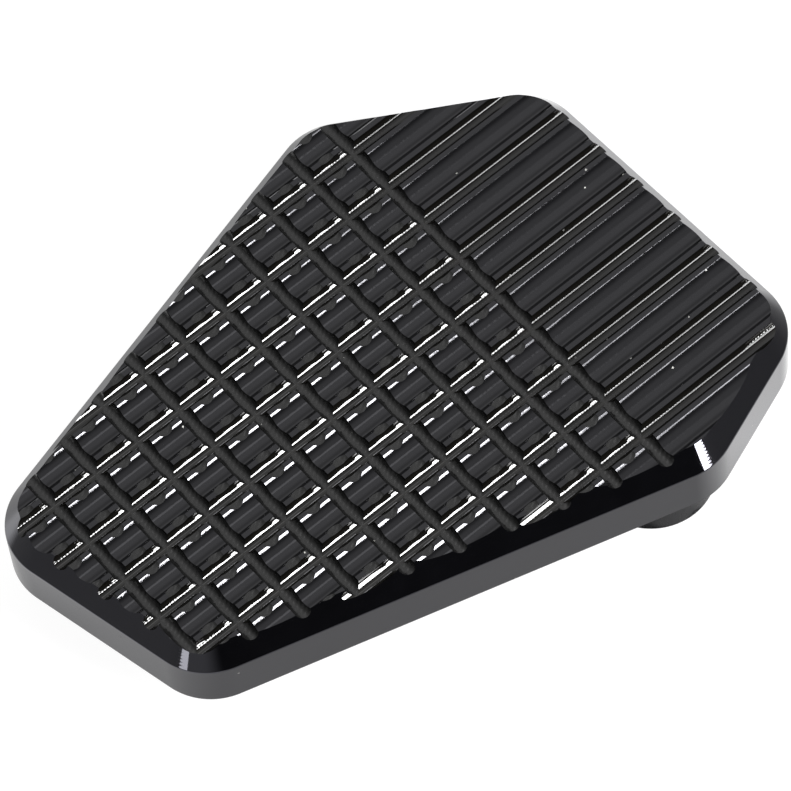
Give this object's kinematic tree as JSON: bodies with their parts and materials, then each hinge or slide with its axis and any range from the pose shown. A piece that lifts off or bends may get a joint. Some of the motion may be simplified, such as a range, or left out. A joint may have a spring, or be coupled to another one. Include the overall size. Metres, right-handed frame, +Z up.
{
  "type": "brake pedal extension",
  "caption": "Six-sided grooved tread plate with a chamfered rim and, beneath it, a round-ended clamp bar that bolts it onto a foot brake pedal tip.",
  "frame": {"origin": "middle of the face that bears on the pedal tip, halfway between the two screws", "axes": "+X along the long grooves towards the wide end, +Y towards the back edge, +Z up out of the tread"},
  "size_m": [0.0682, 0.0515, 0.0123],
  "materials": {
    "plate_anodised": "glossy black anodised",
    "bar_anodised": "satin black anodised",
    "screw_steel": "blackened"
  },
  "bodies": {
    "root": {"pad_plate": "plate_anodised", "clamp_bar": "bar_anodised", "screw_front": "screw_steel", "screw_back": "screw_steel"}
  },
  "joints": []
}
